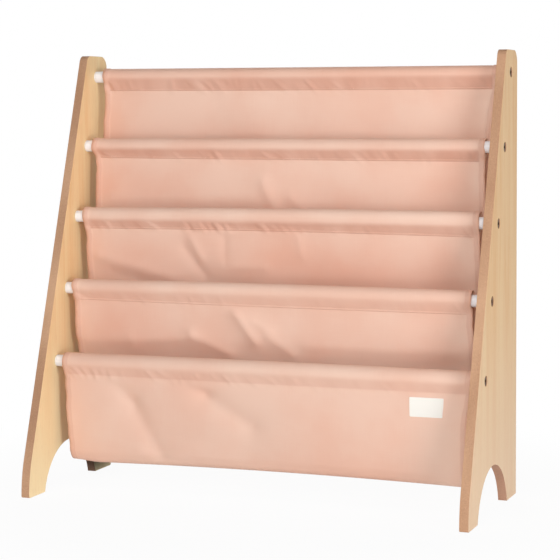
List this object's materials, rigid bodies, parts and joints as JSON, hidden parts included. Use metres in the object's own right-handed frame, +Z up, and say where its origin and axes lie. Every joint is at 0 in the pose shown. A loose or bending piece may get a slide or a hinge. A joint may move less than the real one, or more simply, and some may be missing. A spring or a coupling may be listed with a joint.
{
  "type": "sling bookshelf",
  "caption": "Front-facing children's bookshelf: a cloth sling hangs in stepped pockets from steel rods bolted between two arched wooden side panels.",
  "frame": {"origin": "on the floor, at the middle of the shelf's width and depth", "axes": "+X to the right seen from the front, +Y from the low front towards the upright back, +Z up"},
  "size_m": [0.622, 0.251, 0.6],
  "materials": {
    "panel_wood": "clear matt lacquer on pale fine-grained board, with darker sanded edges",
    "white_steel": "smooth satin white powder coat",
    "white_nylon": "moulded, satin",
    "brass_insert": "plain turned",
    "bronze_bolt": "dark antique bronze plating",
    "sling_canvas": "plain-woven cotton canvas, dusty pink",
    "tag_cloth": "fine woven tape, cream, no print"
  },
  "bodies": {
    "root": {"side_panel_left": "panel_wood", "side_panel_right": "panel_wood", "rod_1": "white_steel", "rod_2": "white_steel", "rod_3": "white_steel", "rod_4": "white_steel", "rod_5": "white_steel", "rod_plug_left_1": "white_nylon", "threaded_insert_left_1": "brass_insert", "bolt_left_1": "bronze_bolt", "rod_plug_right_1": "white_nylon", "threaded_insert_right_1": "brass_insert", "bolt_right_1": "bronze_bolt", "rod_plug_left_2": "white_nylon", "threaded_insert_left_2": "brass_insert", "bolt_left_2": "bronze_bolt", "rod_plug_right_2": "white_nylon", "threaded_insert_right_2": "brass_insert", "bolt_right_2": "bronze_bolt", "rod_plug_left_3": "white_nylon", "threaded_insert_left_3": "brass_insert", "bolt_left_3": "bronze_bolt", "rod_plug_right_3": "white_nylon", "threaded_insert_right_3": "brass_insert", "bolt_right_3": "bronze_bolt", "rod_plug_left_4": "white_nylon", "threaded_insert_left_4": "brass_insert", "bolt_left_4": "bronze_bolt", "rod_plug_right_4": "white_nylon", "threaded_insert_right_4": "brass_insert", "bolt_right_4": "bronze_bolt", "rod_plug_left_5": "white_nylon", "threaded_insert_left_5": "brass_insert", "bolt_left_5": "bronze_bolt", "rod_plug_right_5": "white_nylon", "threaded_insert_right_5": "brass_insert", "bolt_right_5": "bronze_bolt", "pocket_cloth_1": "sling_canvas", "pocket_cloth_2": "sling_canvas", "pocket_cloth_3": "sling_canvas", "pocket_cloth_4": "sling_canvas", "sewn_tag": "tag_cloth"}
  },
  "joints": []
}
